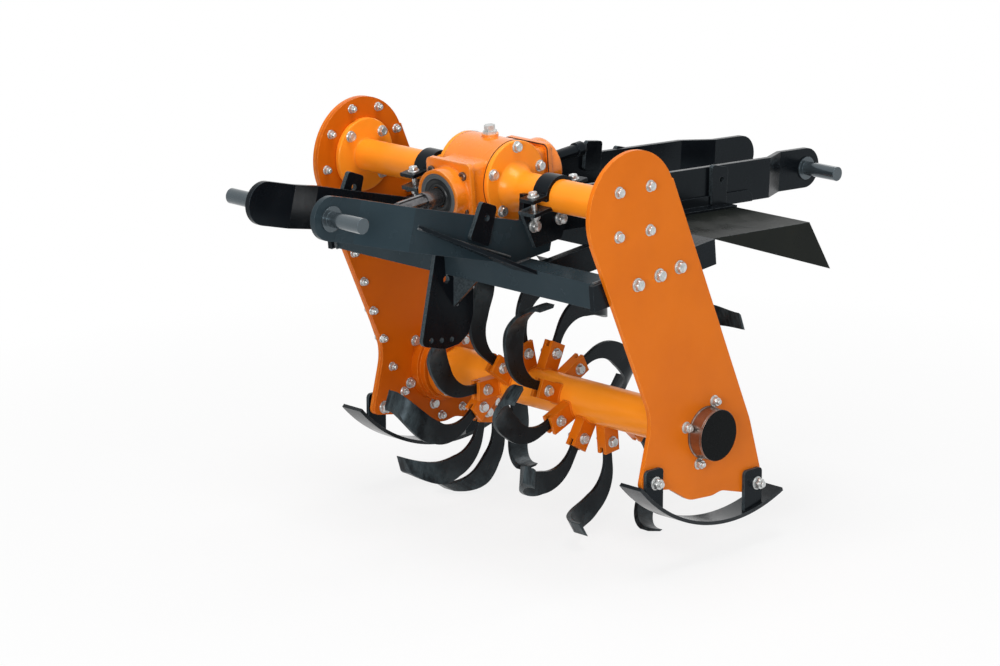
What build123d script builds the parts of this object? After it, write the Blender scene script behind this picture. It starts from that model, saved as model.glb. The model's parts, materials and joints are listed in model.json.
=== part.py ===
from build123d import *
from math import asin, atan2, cos, degrees, hypot, radians, sin
import os

# A narrow rotary tiller (rotavator) for a small tractor, in millimetres.
# +X is the machine's right side, +Y its rear, +Z up.
# The origin lies midway between the two front hitch pins, on their common axis.
# Pieces are drawn from the axis of the cross tube and moved to the hitch at the end.

# ---- hitch and main axes ----
hitchToTube = 553          # hitch pin axis back to the cross tube axis
tubeDrop = 25              # cross tube axis below the hitch pin axis
rotorBack = 228            # rotor axis behind the cross tube axis
rotorDrop = 511            # rotor axis below the cross tube axis
rearPinBack = 889          # rear pin axis behind the cross tube axis
rearPinDrop = 89           # rear pin axis below the cross tube axis

# ---- width ----
rightInner = 394           # machine middle to the inner face of the plain side plate
leftInner = 404            # machine middle to the inner face of the gear case cover
plateThick = 10
coverPlateThick = 8
caseDepth = 50             # gear case pan, outside its flange
caseFlange = 7
caseWall = 6
pressGap = 0.3             # seat gap between curved faces
cutMargin = 1              # how far a cutting tool runs past what it cuts

# ---- side plates, one outline for both: (y, z, corner radius) ----
plateTopAcross = -4        # centre of the round top, across the leaning line
plateTopRadius = 127.5
sideCorners = [
    (62, -452, 110), (26, -596, 14), (118, -613, 40), (178, -650, 60), (250, -655, 60),
    (280, -649.5, 40), (352, -670, 14), (406, -636, 14), (366, -508, 120)]
frontEdgeAcross = -133
rearEdgeAcross = 127
hubHoleDia = 70
caseTopRadius = 82
caseHubRadius = 98

# ---- cross tube ----
tubeDia = 70
tubeWall = 8
endFlangeDia = 160
endFlangeThick = 12

# ---- gearbox ----
gearboxPitch = 5.5         # the box rises towards the rear
gearboxUp = 12             # its main axis above the tube axis
rightSeat = 56             # middle to the seat of the right tube flange
leftSeat = 73
boxRadius = 85
tubeFlangeDia = 169
tubeFlangeThick = 12
neckDia = 104              # swelling of the tube where it leaves its flange
neckLength = 34
padWidth = 130
padHeight = 130
blockHeight = 114         # the body between its pads
padThick = 12
padCorner = 12
plugBossDia = 36           # boss on the box's top
plugBossHeight = 12        # half of it stands above the drum
plugBaseAcross = 31.2      # breather plug, over its hexagon corners
plugHeadAcross = 24
plugBase = 6
plugHead = 12
bearingRecess = 6
frontFaceBack = 115        # tube axis forward to the face under the front pad
bearingDia = 116
bearingLip = 100
bearingFront = 162         # tube axis forward to the end of the bearing housing
rearFaceBack = 103
rearPadWidth = 128
rearUp = 0                 # middle of the rear pad and cap
rearCapDia = 120
rearCapEnd = 146
stubDia = 26
stubEnd = 272
stubCollarRim = 3
stubCollarLength = 18
stubCollarBack = 6         # from the stub's end to its collar
breatherX = -6
breatherY = 6

# ---- input shaft ----
shaftUp = 7                # its axis above the tube axis, before the box is pitched
shankDia = 40
splineDia = 35
splineRoot = 29.9
splineTooth = 8.6
splineCount = 6
shaftEnd = 275
shankEnd = 205
runFit = 0.05

# ---- hitch arms ----
armHeight = 90
armThick = 12
armEndX = 97               # middle plane of an arm at its pin
armMainX = 145             # middle plane of a front arm along the gearbox
frontArmPitch = 14         # rises towards the front
frontJogFrom = 72          # behind the pin
frontJogLength = 108
frontArmEnd = 18           # end of the front arm behind the tube axis
rearArmPitch = 2.8
rearJogFrom = 90
rearJogLength = 75
rearArmStart = -52
rearArmX = armMainX - armThick
pinDia = 32
pinLength = 93
pinCollarDia = 52
pinCollarThick = 4

# ---- frame under the tube ----
crossSize = 55
crossWall = 5
framePitch = 6             # the frame rises towards the rear
frontCrossBack = -67       # centre of the front cross member, back from the tube axis
frontCrossDrop = 163
frameLength = 302          # front to rear cross member, along the frame
railThick = 12
railOverhang = 12          # past the front cross member
innerRailX = 192
innerRailWidth = 20

# ---- clamps on the tube ----
clampX = 178
clampWidth = 40
clampTilt = 9              # the ears rise towards the rear
strapThick = 8
earRoot = 2                # how far an ear starts out from the strap's bore
earReach = 44
earUp = 6
seatDrop = 15              # top of the lower jaw below the tube axis
hangerThick = 10
hangerFoot = [(40, -102), (-36, -110)]

# ---- lugs, braces and the middle plate: corners as (y, z) ----
lugThick = 10
lugHole = 13
frontTabCorners = [(-226, -62), (-191, 12), (-149, -4), (-172, -86)]
frontTabHole = (-178, -24)
leftTabShift = (-80, 28)   # the left tab stands farther forward on its arm
rearTabCorners = [(523, -20), (574, -33), (569, -116), (522, -113)]
rearTabHole = (553, -58)
farLugCorners = [(406, 11), (456, 4), (450, -60), (400, -56)]
lugCorner = 8
braceStart = (-365, -17)
braceReach = 74
braceThick = 8
centreX = -55
centreThick = 10
centreCorners = [
    (-119, -136), (-162, -338), (-95, -356), (-52, -352),
    (-24, -334), (-10, -296), (-8, -170), (-60, -136)]
centreRadii = [4, 14, 20, 26, 26, 30, 4, 4]
centreHoles = [(-90, -205, 17), (-134, -330, 11), (-104, -335, 11), (-74, -338, 11)]
gussetDrop = 82
gussetWidth = 84
gussetThick = 8

# ---- rotor ----
rotorTubeDia = 88.9
rotorTubeWall = 8
rotorFlangeDia = 146
rotorFlangeThick = 14
rightFlangeRim = 14        # the right end flange stands out this far from the tube
rotorGap = 6               # running gap beside each side
hubDia = 172
hubStepDia = 156
hubDepth = 34
hubStep = 14
stubShaftDia = 50
bearingHousingDia = 110
bearingHousingDepth = 36
bearingFootDia = 124
bearingFootDepth = 10
bearingWall = 10

# ---- tines ----
rightFirstX = 3
rightPitchX = 36
leftFirstX = -47
leftPitchX = 33
rightPhases = [158, 201.5, 239, 276, 317, 355.5, 28, 81, 111]
leftPhases = [27, 65.5, 104, 142.5, 181, 219.5, 258, 296.5, 335]
rightInward = (6, 8)       # tines whose feet turn to the middle
leftInward = (4, 8)
tineThick = 9
tineStart = 52
outerStart = (142, 7.5)    # where the blade's leading edge starts to curve back
outerRadius = 98
outerTurn = 63
outerPast = (249, -108)    # a point of the leading edge beyond that curve
outerTip = (233, -158)
innerStart = (112, -12.5)  # the same for its trailing edge
innerRadius = 75
innerTurn = 75
innerPast = (200, -125)
innerTip = (200, -177)
bendPast = 38              # from the end of both curves to where the foot starts to bend
bendRadius = 64            # to the middle of the plate, through a right angle
footEnd = 8                # straight run after the bend
holderOut = 106
holderCheek = 8
holderIn = 38
holderWidth = 42
holderWeb = 5.5
holderLead = 2             # holder's middle ahead of the radius line
holderMouth = 92           # where the web stops short of the cheeks

# ---- skids ----
skidIn = 14                # from the right side's outer face in to the right shoe's middle
skidWidth = 60
skidThick = 8
skidRadius = 399
skidFront = (10, -591)
skidRear = (462, -686)
bracketThick = 8
bracketTops = [(62, -556, 52), (373, -621, 55)]
bracketDepth = 110
bracketCorner = 10
spacerLength = 11          # holds the left brackets, and so the left shoe, off the gear case
bracketBolts = [(58, -586), (384, -652)]
spacerDia = 34

# ---- rear cover ----
coverLength = 312
coverThick = 3
flapTaper = 78             # how far the flap's lower corner lies behind the sheet
flapDepth = 111
angleHeight = 26
angleWidth = 36
angleThick = 5
angleFrom = 70             # behind the cover's front edge
angleTo = 398

leanAngle = atan2(rotorBack, rotorDrop)


def lean(across, down):
    """Point across and down the leaning line from the tube axis to the rotor axis, as (y, z)."""
    return (across * cos(leanAngle) + down * sin(leanAngle),
            across * sin(leanAngle) - down * cos(leanAngle))


def plateX(sketch, x0, x1):
    """Sketch drawn as (y, z), extruded along X from x0 to x1."""
    return extrude(Plane.YZ.offset(x0) * sketch, x1 - x0)


def rodX(y, z, dia, x0, x1):
    return Pos((x0 + x1) / 2, y, z) * Rot(0, 90, 0) * Cylinder(dia / 2, abs(x1 - x0))


def rodY(x, z, dia, y0, y1):
    return Pos(x, (y0 + y1) / 2, z) * Rot(90, 0, 0) * Cylinder(dia / 2, abs(y1 - y0))


def polygon(points):
    return make_face(Polyline(*points, close=True))


def rounded(points, radii):
    return make_face(FilletPolyline(*points, radius=radii, close=True))


def evenlyRounded(points, radius):
    return rounded(points, [radius] * len(points))


def mirrored(part):
    return mirror(part, about=Plane.YZ)


# ---------------------------------------------------------------- sides
def sideOutline():
    """Leaning side: round top, straight edges, front toe, lobe below the hub and rear heel."""
    low = [(y, z) for y, z, radius in sideCorners]
    radii = [radius for y, z, radius in sideCorners]
    tiny = pressGap
    face = rounded([lean(frontEdgeAcross, 0)] + low + [lean(rearEdgeAcross, 0)], [tiny] + radii + [tiny])
    return face + Pos(*lean(plateTopAcross, 0)) * Circle(plateTopRadius)


def casePlan(inset):
    """Outline of the raised gear case: two circles and the straight sides that touch both."""
    small, large = caseTopRadius - inset, caseHubRadius - inset
    span = hypot(rotorBack, rotorDrop)
    slope = asin((large - small) / span)
    upper = small * cos(slope), -small * sin(slope)
    lower = large * cos(slope), span - large * sin(slope)
    corners = [lean(-upper[0], upper[1]), lean(-lower[0], lower[1]), lean(*lower), lean(*upper)]
    return polygon(corners) + Circle(small) + Pos(rotorBack, -rotorDrop) * Circle(large)


def sidePlateRight():
    outer = rightInner + plateThick
    hole = rodX(rotorBack, -rotorDrop, hubHoleDia, rightInner - cutMargin, outer + cutMargin)
    return plateX(sideOutline(), rightInner, outer) - hole


def gearCaseCover():
    outer = -leftInner - coverPlateThick
    hole = rodX(rotorBack, -rotorDrop, hubHoleDia, outer - cutMargin, -leftInner + cutMargin)
    return plateX(sideOutline(), outer, -leftInner) - hole


def gearCasePan():
    seat = -leftInner - coverPlateThick
    outer = seat - caseFlange - caseDepth
    body = plateX(casePlan(0), outer, seat) + plateX(sideOutline(), seat - caseFlange, seat)
    return body - plateX(casePlan(caseWall), outer + caseWall, seat)


# ---------------------------------------------------------------- cross tube and gearbox
def crossTube(seat, inner):
    """One half of the cross tube, drawn for the right side from its flange seat to its side plate."""
    flange = Pos(0, 0, gearboxUp) * rodX(0, 0, tubeFlangeDia, seat, seat + tubeFlangeThick)
    neck = Pos(seat + tubeFlangeThick + neckLength / 2, 0, 0) * Rot(0, 90, 0) * Cone(
        neckDia / 2, tubeDia / 2, neckLength)
    end = rodX(0, 0, endFlangeDia, inner - endFlangeThick, inner)
    bore = rodX(0, 0, tubeDia - 2 * tubeWall, seat - cutMargin, inner + cutMargin)
    return rodX(0, 0, tubeDia, seat, inner) + flange + neck + end - bore


def pitched(part):
    return Rot(gearboxPitch, 0, 0) * part


def pad(width, height, up, y0, y1):
    plan = Plane.XZ * RectangleRounded(width, height, padCorner)
    return Pos(0, (y0 + y1) / 2, up) * extrude(plan, abs(y1 - y0) / 2, both=True)


def gearboxBody():
    drum = Pos(0, 0, gearboxUp) * rodX(0, 0, 2 * boxRadius, -leftSeat, rightSeat)
    front = pad(rightSeat * 2, blockHeight, gearboxUp, -frontFaceBack, 0)
    rear = pad(rightSeat * 2, blockHeight, rearUp, 0, rearFaceBack)
    boss = Pos(breatherX, breatherY, gearboxUp + boxRadius) * Cylinder(plugBossDia / 2, plugBossHeight)
    return pitched(drum + front + rear + boss)


def gearboxFrontHousing():
    ring = rodY(0, shaftUp, bearingDia, -bearingFront, -frontFaceBack)
    recess = rodY(0, shaftUp, bearingLip, -bearingFront - cutMargin, -bearingFront + bearingRecess)
    hole = rodY(0, shaftUp, shankDia + 2 * runFit, -bearingFront - cutMargin, -frontFaceBack + cutMargin)
    face = pad(padWidth, padHeight, gearboxUp, -frontFaceBack - padThick, -frontFaceBack)
    return pitched(face + ring - recess - hole)


def gearboxRearCap():
    face = pad(rearPadWidth, padHeight, rearUp, rearFaceBack, rearFaceBack + padThick)
    return pitched(face + rodY(0, rearUp, rearCapDia, rearFaceBack + padThick, rearCapEnd))


def rearStub():
    end = stubEnd - stubCollarBack
    collar = rodY(0, shaftUp, stubDia + 2 * stubCollarRim, end - stubCollarLength, end)
    return pitched(rodY(0, shaftUp, stubDia, rearCapEnd, stubEnd) + collar)


def breatherPlug():
    seat = gearboxUp + boxRadius + plugBossHeight / 2
    base = extrude(RegularPolygon(plugBaseAcross / 2, 6), plugBase)
    head = Pos(0, 0, plugBase) * extrude(RegularPolygon(plugHeadAcross / 2, 6), plugHead)
    return pitched(Pos(breatherX, breatherY, seat) * (base + head))


def inputShaft():
    shank = rodY(0, shaftUp, shankDia, -shankEnd, -frontFaceBack)
    spline = rodY(0, shaftUp, splineRoot, -shaftEnd, -shankEnd)
    depth = (splineDia - splineRoot) / 2
    for i in range(splineCount):
        tooth = Pos(0, -(shaftEnd + shankEnd) / 2, shaftUp) * Rot(0, i * 360 / splineCount, 0) * Pos(
            0, 0, (splineRoot + splineDia) / 4) * Box(splineTooth, shaftEnd - shankEnd, 2 * depth)
        spline += tooth & rodY(0, shaftUp, splineDia, -shaftEnd, -shankEnd)
    return pitched(shank + spline)


# ---------------------------------------------------------------- arms
def joggedBar(length, endX, mainX, jogFrom, jogLength):
    """Flat bar on edge along +Y from a pin at the origin, stepping sideways from endX to mainX."""
    path = [(endX, -armHeight / 2), (endX, jogFrom), (mainX, jogFrom + jogLength), (mainX, length)]
    half = armThick / 2
    plan = polygon([(x - half, y) for x, y in path] + [(x + half, y) for x, y in reversed(path)])
    bar = extrude(plan, armHeight / 2, both=True)
    side = Circle(armHeight / 2) + Rectangle(length, armHeight, align=(Align.MIN, Align.CENTER))
    return bar & plateX(side, 0, rightInner)


def frontArmRight():
    length = (hitchToTube + frontArmEnd) / cos(radians(frontArmPitch))
    bar = joggedBar(length, armEndX, armMainX, frontJogFrom, frontJogLength)
    return Pos(0, -hitchToTube, tubeDrop) * Rot(-frontArmPitch, 0, 0) * bar - frameSpace()


def rearArmRight():
    length = (rearPinBack - rearArmStart) / cos(radians(rearArmPitch))
    bar = joggedBar(length, armEndX, rearArmX, rearJogFrom, rearJogLength)
    bar = Pos(0, rearPinBack, -rearPinDrop) * Rot(-rearArmPitch, 0, 0) * mirror(bar, about=Plane.XZ)
    r = tubeDia / 2 + pressGap
    notch = Circle(r) + Pos(0, armHeight) * Rectangle(2 * r, 2 * armHeight)
    return bar - plateX(notch, 0, rightInner) - frameSpace()


def pinRight(y, z):
    base = armEndX + armThick / 2
    collar = rodX(y, z, pinCollarDia, base, base + pinCollarThick)
    return rodX(y, z, pinDia, base, base + pinLength) + collar


# ---------------------------------------------------------------- frame
def framePoint(along, up):
    """Point along and up from the centre of the front cross member, in the frame's own pitch."""
    a = radians(framePitch)
    return (frontCrossBack + along * cos(a) - up * sin(a), -frontCrossDrop + along * sin(a) + up * cos(a))


def frameBox(along, up, length, height, x0, x1):
    y, z = framePoint(along, up)
    return Pos((x0 + x1) / 2, y, z) * Rot(framePitch, 0, 0) * Box(abs(x1 - x0), length, height)


def frameSpace():
    """Everything under the frame's top, from the front cross member to the rear one."""
    length = frameLength + crossSize
    return frameBox(frameLength / 2, -crossSize, length, crossSize * 3, -leftInner, leftInner)


def crossMember(along):
    left, right = railThick - leftInner, rightInner - railThick
    inside = crossSize - 2 * crossWall
    outer = frameBox(along, 0, crossSize, crossSize, left, right)
    return outer - frameBox(along, 0, inside, inside, left - cutMargin, right + cutMargin)


def sideRail(inner):
    length = frameLength + crossSize + railOverhang
    return frameBox((frameLength - railOverhang) / 2, 0, length, crossSize, inner - railThick, inner)


def innerRailRight():
    return frameBox(frameLength / 2, 0, frameLength - crossSize, crossSize,
                    innerRailX - innerRailWidth / 2, innerRailX + innerRailWidth / 2)


def clampStrapRight():
    x0 = clampX - clampWidth / 2
    r = tubeDia / 2 + pressGap
    ear = Rectangle(earReach, strapThick, align=(Align.MIN, Align.MIN))
    strap = Circle(r + strapThick) - Circle(r) - Pos(0, -r * 2) * Rectangle(r * 4, r * 4)
    strap += Pos(r + earRoot, earUp) * ear + Pos(-r - earRoot - earReach, earUp) * ear
    return Rot(clampTilt, 0, 0) * plateX(strap, x0, x0 + clampWidth)


def clampSeatRight():
    x0 = armMainX + armThick / 2
    r = tubeDia / 2 + pressGap
    reach = r + earRoot + earReach
    jaw = Pos(0, -seatDrop - strapThick / 2) * Rectangle(2 * reach, strapThick) - Circle(r)
    jaw = Rot(clampTilt, 0, 0) * plateX(jaw, x0, clampX + clampWidth / 2)
    a = radians(clampTilt)
    dropY, dropZ = seatDrop * sin(a), -seatDrop * cos(a)
    alongY, alongZ = reach * cos(a), reach * sin(a)
    top = [(dropY - alongY, dropZ - alongZ), (dropY + alongY, dropZ + alongZ)]
    hanger = polygon(top + hangerFoot) - Circle(r)
    return jaw + plateX(hanger, x0, x0 + hangerThick)


def lugPlate(corners, hole, x0):
    plan = evenlyRounded(corners, lugCorner)
    if hole:
        plan -= Pos(*hole) * Circle(lugHole / 2)
    return plateX(plan, x0, x0 + lugThick)


def frontTab(along, up):
    corners = [(y + along, z + up) for y, z in frontTabCorners]
    return lugPlate(corners, (frontTabHole[0] + along, frontTabHole[1] + up), armMainX + armThick / 2)


def rearTabRight():
    return lugPlate(rearTabCorners, rearTabHole, armMainX - armThick / 2)


def braceRight():
    inner = armMainX + armThick / 2
    startY, startZ = braceStart
    y, z = framePoint(-crossSize / 2, crossSize / 2 - braceThick)
    pitch = degrees(atan2(z - startZ, y - startY))
    length = hypot(z - startZ, y - startY)
    sheet = extrude(polygon([(inner, 0), (inner + braceReach, length), (inner, length)]), braceThick)
    return Pos(0, startY, startZ) * Rot(pitch, 0, 0) * sheet - frameSpace()


def centrePlate():
    """Plate under the middle of the front cross member, and the gusset that stiffens it."""
    plan = rounded(centreCorners, centreRadii)
    for y, z, dia in centreHoles:
        plan -= Pos(y, z) * Circle(dia / 2)
    sheet = plateX(plan, centreX - centreThick / 2, centreX + centreThick / 2)
    x0 = centreX + centreThick / 2
    y, z = framePoint(0, -crossSize / 2)
    corner = Plane.XZ * polygon([(x0, 0), (x0 + gussetWidth, 0), (x0, -gussetDrop)])
    gusset = extrude(corner, gussetThick / 2, both=True)
    member = frameBox(0, 0, crossSize, crossSize, -leftInner, rightInner)
    return sheet + Pos(0, y, z + crossWall) * gusset - member


# ---------------------------------------------------------------- rotor
def rotorEnds():
    """X of the outer faces of the rotor's left and right end flanges."""
    return hubDepth + rotorGap - leftInner, rightInner - rotorGap


def rotorTube():
    left, right = rotorEnds()
    left += rotorFlangeThick
    right -= rotorFlangeThick
    tube = rodX(rotorBack, -rotorDrop, rotorTubeDia, left, right)
    return tube - rodX(rotorBack, -rotorDrop, rotorTubeDia - 2 * rotorTubeWall, left, right)


def rotorEndLeft():
    left = rotorEnds()[0]
    flange = rodX(rotorBack, -rotorDrop, rotorFlangeDia, left, left + rotorFlangeThick)
    case = -leftInner - coverPlateThick - caseFlange
    stub = rodX(rotorBack, -rotorDrop, stubShaftDia, case, left + cutMargin)
    return flange + stub


def rotorEndRight():
    right = rotorEnds()[1]
    dia = rotorTubeDia + 2 * rightFlangeRim
    flange = rodX(rotorBack, -rotorDrop, dia, right - rotorFlangeThick, right)
    end = rightInner + plateThick + bearingHousingDepth - bearingWall
    return flange + rodX(rotorBack, -rotorDrop, stubShaftDia, right - cutMargin, end)


def bearingHousingRight():
    x0 = rightInner + plateThick
    foot = rodX(rotorBack, -rotorDrop, bearingFootDia, x0, x0 + bearingFootDepth)
    ring = rodX(rotorBack, -rotorDrop, bearingHousingDia, x0, x0 + bearingHousingDepth)
    hole = rodX(rotorBack, -rotorDrop, stubShaftDia + 2 * runFit, x0 - cutMargin,
                x0 + bearingHousingDepth - bearingWall + cutMargin)
    return foot + ring - hole


def hubLeft():
    x0 = -leftInner
    ring = rodX(rotorBack, -rotorDrop, hubDia, x0, x0 + hubDepth - hubStep)
    step = rodX(rotorBack, -rotorDrop, hubStepDia, x0, x0 + hubDepth)
    hole = rodX(rotorBack, -rotorDrop, stubShaftDia + 2 * runFit, x0 - cutMargin, x0 + hubDepth + cutMargin)
    return ring + step - hole


def tineTable():
    """Rows of (x, phase, side the foot turns to)."""
    rows = []
    for i, phase in enumerate(rightPhases):
        rows.append((rightFirstX + i * rightPitchX, phase, -1 if i in rightInward else 1))
    for i, phase in enumerate(leftPhases):
        rows.append((leftFirstX - i * leftPitchX, phase, 1 if i in leftInward else -1))
    return rows


def atTine(part, x, phase):
    """Drawn with radius along +Y and forward turn towards +Z, about the rotor axis."""
    return Pos(x, rotorBack, -rotorDrop) * Rot(phase, 0, 0) * part


def curveBack(start, radius, turn):
    """Middle and end of an arc that leaves start along the radius line and turns back."""
    points = []
    for angle in (radians(turn / 2), radians(turn)):
        points.append((start[0] + radius * sin(angle), start[1] - radius + radius * cos(angle)))
    return points


def blade(foot):
    """Flat blade curved back on edge, whose foot bends round to one side."""
    outerMid, outerEnd = curveBack(outerStart, outerRadius, outerTurn)
    innerMid, innerEnd = curveBack(innerStart, innerRadius, innerTurn)
    root = tineStart, outerStart[1]
    rootInner = tineStart, innerStart[1]
    outline = make_face([
        Line(root, outerStart), ThreePointArc(outerStart, outerMid, outerEnd),
        ThreePointArc(outerEnd, outerPast, outerTip), Line(outerTip, innerTip),
        ThreePointArc(innerTip, innerPast, innerEnd), ThreePointArc(innerEnd, innerMid, innerStart),
        Line(innerStart, rootInner), Line(rootInner, root)])
    half, reach = tineThick / 2, bendRadius + footEnd
    width = hypot(outerEnd[0] - innerEnd[0], outerEnd[1] - innerEnd[1])
    over = (outerEnd[0] - innerEnd[0]) / width
    back = (innerEnd[1] - outerEnd[1]) / width
    profile = Circle(bendRadius + half) - Circle(bendRadius - half)
    profile &= Rectangle(2 * reach, 2 * reach, align=(Align.MIN, Align.MAX))
    profile += Pos(0, -bendRadius) * Rectangle(4 * reach, tineThick, align=(Align.MAX, Align.CENTER))
    profile += Pos(bendRadius) * Rectangle(tineThick, footEnd, align=(Align.CENTER, Align.MIN))
    fold = Plane((0, innerEnd[0], innerEnd[1]), x_dir=(0, -back, -over), z_dir=(0, -over, back))
    sheet = extrude(fold * Pos(bendPast, bendRadius) * profile, reach * 2, both=True)
    bent = plateX(outline, -half, reach) & sheet
    return bent if foot > 0 else mirror(bent, about=Plane.YZ)


def holder():
    """Folded bracket: two cheeks joined by webs before and behind the blade's root."""
    half = tineThick / 2
    outer = Pos(0, (holderOut + holderIn) / 2, holderLead) * Box(
        2 * (half + holderCheek), holderOut - holderIn, holderWidth)
    inside = holderWidth - 2 * holderWeb
    slot = Pos(0, tineStart + holderOut / 2, holderLead) * Box(2 * half, holderOut, inside)
    mouth = Box(2 * half, holderOut, holderWidth + cutMargin)
    mouth = Pos(0, holderMouth + holderOut / 2, holderLead) * mouth
    return outer - slot - mouth


def tines():
    return [atTine(blade(foot), x, phase) for x, phase, foot in tineTable()]


def holders():
    left, right = rotorEnds()
    core = rodX(rotorBack, -rotorDrop, rotorTubeDia, left, right)
    return [atTine(holder(), x, phase) - core for x, phase, foot in tineTable()]


# ---------------------------------------------------------------- skids
def skidCentre():
    """Centre of the arc that the shoe's underside follows, as (y, z)."""
    y, z = (skidFront[0] + skidRear[0]) / 2, (skidFront[1] + skidRear[1]) / 2
    chord = hypot(skidRear[0] - skidFront[0], skidRear[1] - skidFront[1])
    rise = (skidRadius ** 2 - chord ** 2 / 4) ** 0.5
    a = atan2(skidRear[1] - skidFront[1], skidRear[0] - skidFront[0])
    return y - rise * sin(a), z + rise * cos(a)


def skid(x):
    cy, cz = skidCentre()
    wedge = polygon([(cy, cz), (2 * skidFront[0] - cy, 2 * skidFront[1] - cz), (cy, cz - 2 * skidRadius),
                     (2 * skidRear[0] - cy, 2 * skidRear[1] - cz)])
    ring = Pos(cy, cz) * (Circle(skidRadius) - Circle(skidRadius - skidThick))
    return plateX(ring & wedge, x - skidWidth / 2, x + skidWidth / 2)


def skidBrackets(x0):
    cy, cz = skidCentre()
    made = []
    for y, top, width in bracketTops:
        plan = Pos(y, top - bracketDepth / 2) * RectangleRounded(width, bracketDepth, bracketCorner)
        made.append(plateX(plan & Pos(cy, cz) * Circle(skidRadius - skidThick), x0, x0 + bracketThick))
    return made


def skidSideLeft():
    """Left shoe, its brackets along its inner edge, and the spacers that hold them off the gear case."""
    seat = leftInner + coverPlateThick + caseFlange
    x0 = seat + spacerLength
    spacers = [rodX(y, z, spacerDia, seat, x0) for y, z in bracketBolts]
    return mirrored(skid(x0 + skidWidth / 2)), [mirrored(piece) for piece in skidBrackets(x0) + spacers]


# ---------------------------------------------------------------- cover
def armUnder(y):
    """Height of a rear arm's lower edge."""
    a = radians(rearArmPitch)
    return -rearPinDrop + (rearPinBack - y) * sin(a) / cos(a) - armHeight / 2 / cos(a)


def onCover(part):
    """Place a piece drawn from the front edge of the cover's top face."""
    y = framePoint(frameLength + crossSize / 2, 0)[0] + coverThick
    return Pos(0, y, armUnder(y)) * Rot(-rearArmPitch, 0, 0) * part


def coverSheet():
    left, right = railThick - leftInner, rightInner - railThick
    sheet = Box(right - left, coverLength, coverThick, align=(Align.CENTER, Align.MIN, Align.MAX))
    sheet = Pos((left + right) / 2, 0, 0) * sheet
    flap = polygon([(0, 0), (coverLength, 0), (coverLength + flapTaper, -flapDepth)])
    return onCover(sheet + plateX(flap, right - coverThick, right) + plateX(flap, left, left + coverThick))


def coverAngleRight():
    x0 = armMainX - armThick / 2
    upright = polygon([(angleFrom, 0), (angleTo, 0), (angleTo, angleHeight / 2),
                       (angleTo - angleHeight / 2, angleHeight), (angleFrom, angleHeight)])
    flat = Pos(x0 + angleWidth / 2, (angleFrom + coverLength) / 2, angleThick / 2) * Box(
        angleWidth, coverLength - angleFrom, angleThick)
    return onCover(plateX(upright, x0, x0 + angleThick) + flat) - rearTabRight()


def write(name, shape):
    place = Pos(0, hitchToTube, -tubeDrop)
    if isinstance(shape, (list, tuple)):
        shape = Compound(children=[place * s for s in shape])
    else:
        shape = place * shape
    os.makedirs("parts", exist_ok=True)
    export_step(shape, f"parts/{name}.step")


parts = {
    "side_plate_right": sidePlateRight(),
    "gear_case_cover": gearCaseCover(),
    "gear_case_pan": gearCasePan(),
    "cross_tube_right": crossTube(rightSeat, rightInner),
    "cross_tube_left": mirrored(crossTube(leftSeat, leftInner)),
    "gearbox_body": gearboxBody(),
    "gearbox_front_housing": gearboxFrontHousing(),
    "gearbox_rear_cap": gearboxRearCap(),
    "gearbox_rear_stub": rearStub(),
    "breather_plug": breatherPlug(),
    "input_shaft": inputShaft(),
    "front_cross_member": crossMember(0),
    "rear_cross_member": crossMember(frameLength),
    "side_rail_right": sideRail(rightInner),
    "side_rail_left": mirrored(sideRail(leftInner)),
    "centre_plate": centrePlate(),
    "rotor_tube": rotorTube(),
    "rotor_end_left": rotorEndLeft(),
    "rotor_end_right": rotorEndRight(),
    "bearing_housing_right": bearingHousingRight(),
    "hub_left": hubLeft(),
    "tines": tines(),
    "tine_holders": holders(),
    "rear_cover": coverSheet(),
    "rear_lug_left": lugPlate(farLugCorners, None, -rearArmX + armThick / 2),
    "skid_right": skid(rightInner + plateThick - skidIn),
    "skid_brackets_right": skidBrackets(rightInner + plateThick),
    "skid_left": skidSideLeft()[0],
    "skid_brackets_left": skidSideLeft()[1],
    "front_tab_right": frontTab(0, 0),
    "front_tab_left": mirrored(frontTab(*leftTabShift)),
}
pairs = {
    "front_arm": frontArmRight(),
    "rear_arm": rearArmRight(),
    "front_pin": pinRight(-hitchToTube, tubeDrop),
    "rear_pin": pinRight(rearPinBack, -rearPinDrop),
    "inner_rail": innerRailRight(),
    "clamp_strap": clampStrapRight(),
    "clamp_seat": clampSeatRight(),
    "rear_tab": rearTabRight(),
    "brace": braceRight(),
    "cover_angle": coverAngleRight(),
}
for name, shape in parts.items():
    write(name, shape)
for name, shape in pairs.items():
    write(name + "_right", shape)
    write(name + "_left", mirrored(shape))
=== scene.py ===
import bmesh
import bpy
import json
import numpy as np
from mathutils import Matrix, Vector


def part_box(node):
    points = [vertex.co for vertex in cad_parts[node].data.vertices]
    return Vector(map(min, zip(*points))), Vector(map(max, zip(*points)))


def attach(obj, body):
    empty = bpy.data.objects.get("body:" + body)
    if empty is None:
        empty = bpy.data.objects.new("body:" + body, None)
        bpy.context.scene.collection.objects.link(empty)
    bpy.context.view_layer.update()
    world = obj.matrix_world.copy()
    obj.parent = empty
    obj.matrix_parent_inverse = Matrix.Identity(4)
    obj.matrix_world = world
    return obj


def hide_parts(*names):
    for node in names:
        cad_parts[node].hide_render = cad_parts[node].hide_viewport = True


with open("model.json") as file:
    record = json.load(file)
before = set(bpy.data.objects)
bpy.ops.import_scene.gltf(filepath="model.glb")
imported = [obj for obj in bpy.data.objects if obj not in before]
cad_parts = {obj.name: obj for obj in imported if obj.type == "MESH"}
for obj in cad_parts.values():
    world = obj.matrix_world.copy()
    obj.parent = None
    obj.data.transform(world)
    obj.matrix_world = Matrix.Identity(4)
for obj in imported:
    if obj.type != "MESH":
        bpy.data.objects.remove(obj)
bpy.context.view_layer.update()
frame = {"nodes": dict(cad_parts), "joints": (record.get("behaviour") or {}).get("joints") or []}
cadNodes = frame["nodes"]
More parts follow.
